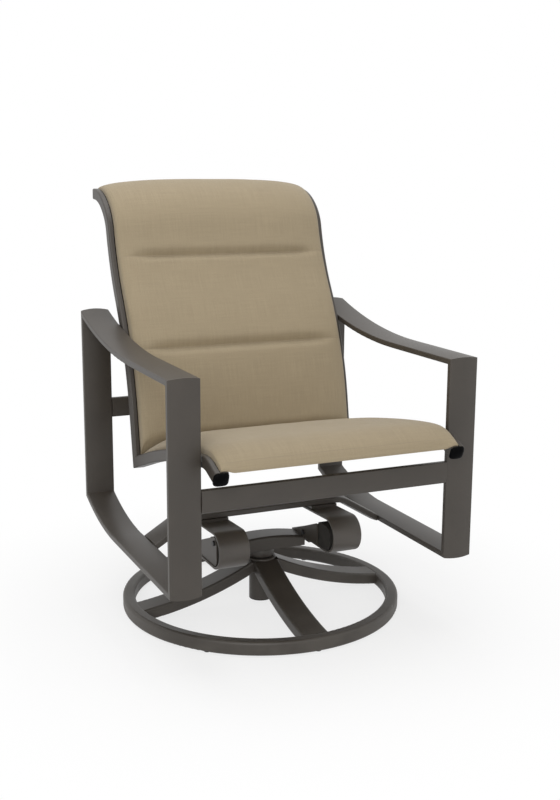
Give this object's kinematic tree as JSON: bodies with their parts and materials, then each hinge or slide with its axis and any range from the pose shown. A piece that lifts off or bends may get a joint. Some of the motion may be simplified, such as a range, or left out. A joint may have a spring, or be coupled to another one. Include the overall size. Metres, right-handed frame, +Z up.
{
  "type": "swivel rocker",
  "caption": "Outdoor armchair with a padded sling on flat metal side frames, carried on C springs that rock it and on a swivel post with a ring base.",
  "frame": {"origin": "middle of the footprint's bounding box, on the floor under the glides", "axes": "+Z up, -Y the way a sitter faces, +X across the chair to the right as seen from the front"},
  "size_m": [0.7, 0.8186, 0.987],
  "materials": {
    "frame_enamel": "satin dark bronze-grey powder coat",
    "spring_enamel": "satin dark powder coat on spring steel",
    "bumper_rubber": "matte",
    "black_plastic": "moulded, low sheen",
    "dark_bolts": "black coated",
    "bare_metal": "mill",
    "sling_fabric": "woven tan sling cloth over thin padding"
  },
  "bodies": {
    "base": {"base_ring": "frame_enamel", "glides": "black_plastic", "base_hub": "frame_enamel", "base_spoke_front": "frame_enamel", "base_spoke_rear": "frame_enamel", "base_spoke_left": "frame_enamel", "base_spoke_right": "frame_enamel", "centre_post": "frame_enamel", "post_cap": "black_plastic", "upper_bush": "black_plastic", "lower_bush": "black_plastic", "thrust_washer": "bare_metal"},
    "swivel": {"spindle": "frame_enamel", "spindle_clip": "bare_metal", "yoke": "frame_enamel", "spring_bracket_left": "frame_enamel", "spring_bracket_right": "frame_enamel", "spring_bumper_left": "bumper_rubber", "spring_bumper_right": "bumper_rubber", "bracket_pins": "dark_bolts", "lower_spring_bolts": "dark_bolts", "spring_clamp_left": "spring_enamel", "spring_clamp_right": "spring_enamel", "c_spring_left": "spring_enamel", "c_spring_right": "spring_enamel"},
    "chair": {"arched_brace": "frame_enamel", "front_cross_rail": "frame_enamel", "rear_cross_rail": "frame_enamel", "seat_rail_left": "frame_enamel", "seat_rail_right": "frame_enamel", "back_rail_left": "frame_enamel", "back_rail_right": "frame_enamel", "front_leg_left": "frame_enamel", "front_leg_right": "frame_enamel", "arm_left": "frame_enamel", "arm_right": "frame_enamel", "rear_upright_left": "frame_enamel", "rear_upright_right": "frame_enamel", "runner_left": "frame_enamel", "runner_right": "frame_enamel", "spring_pad_left": "spring_enamel", "spring_pad_right": "spring_enamel", "front_caps": "black_plastic", "keder_rods": "black_plastic", "top_caps": "frame_enamel", "upper_spring_bolts": "dark_bolts", "rail_bolts": "dark_bolts", "rail_spacers": "bare_metal", "front_spreader_bar": "bare_metal", "corner_spreader_bar": "bare_metal", "top_spreader_bar": "bare_metal", "seat_pad": "sling_fabric", "back_pad": "sling_fabric"}
  },
  "joints": [
    {"name": "swivel", "type": "hinge", "parent": "base", "child": "swivel", "pos_m": [0, 0.01907, 0.137], "axis": [0, 0, 1], "continuous": true},
    {"name": "rock", "type": "hinge", "parent": "swivel", "child": "chair", "pos_m": [0, -0.11853, 0.194], "axis": [-1, 0, 0], "range_deg": [-9, 14], "stiffness_Nm_per_rad": 520, "springref_deg": -1.72, "deforming": ["c_spring_left", "c_spring_right"]}
  ]
}
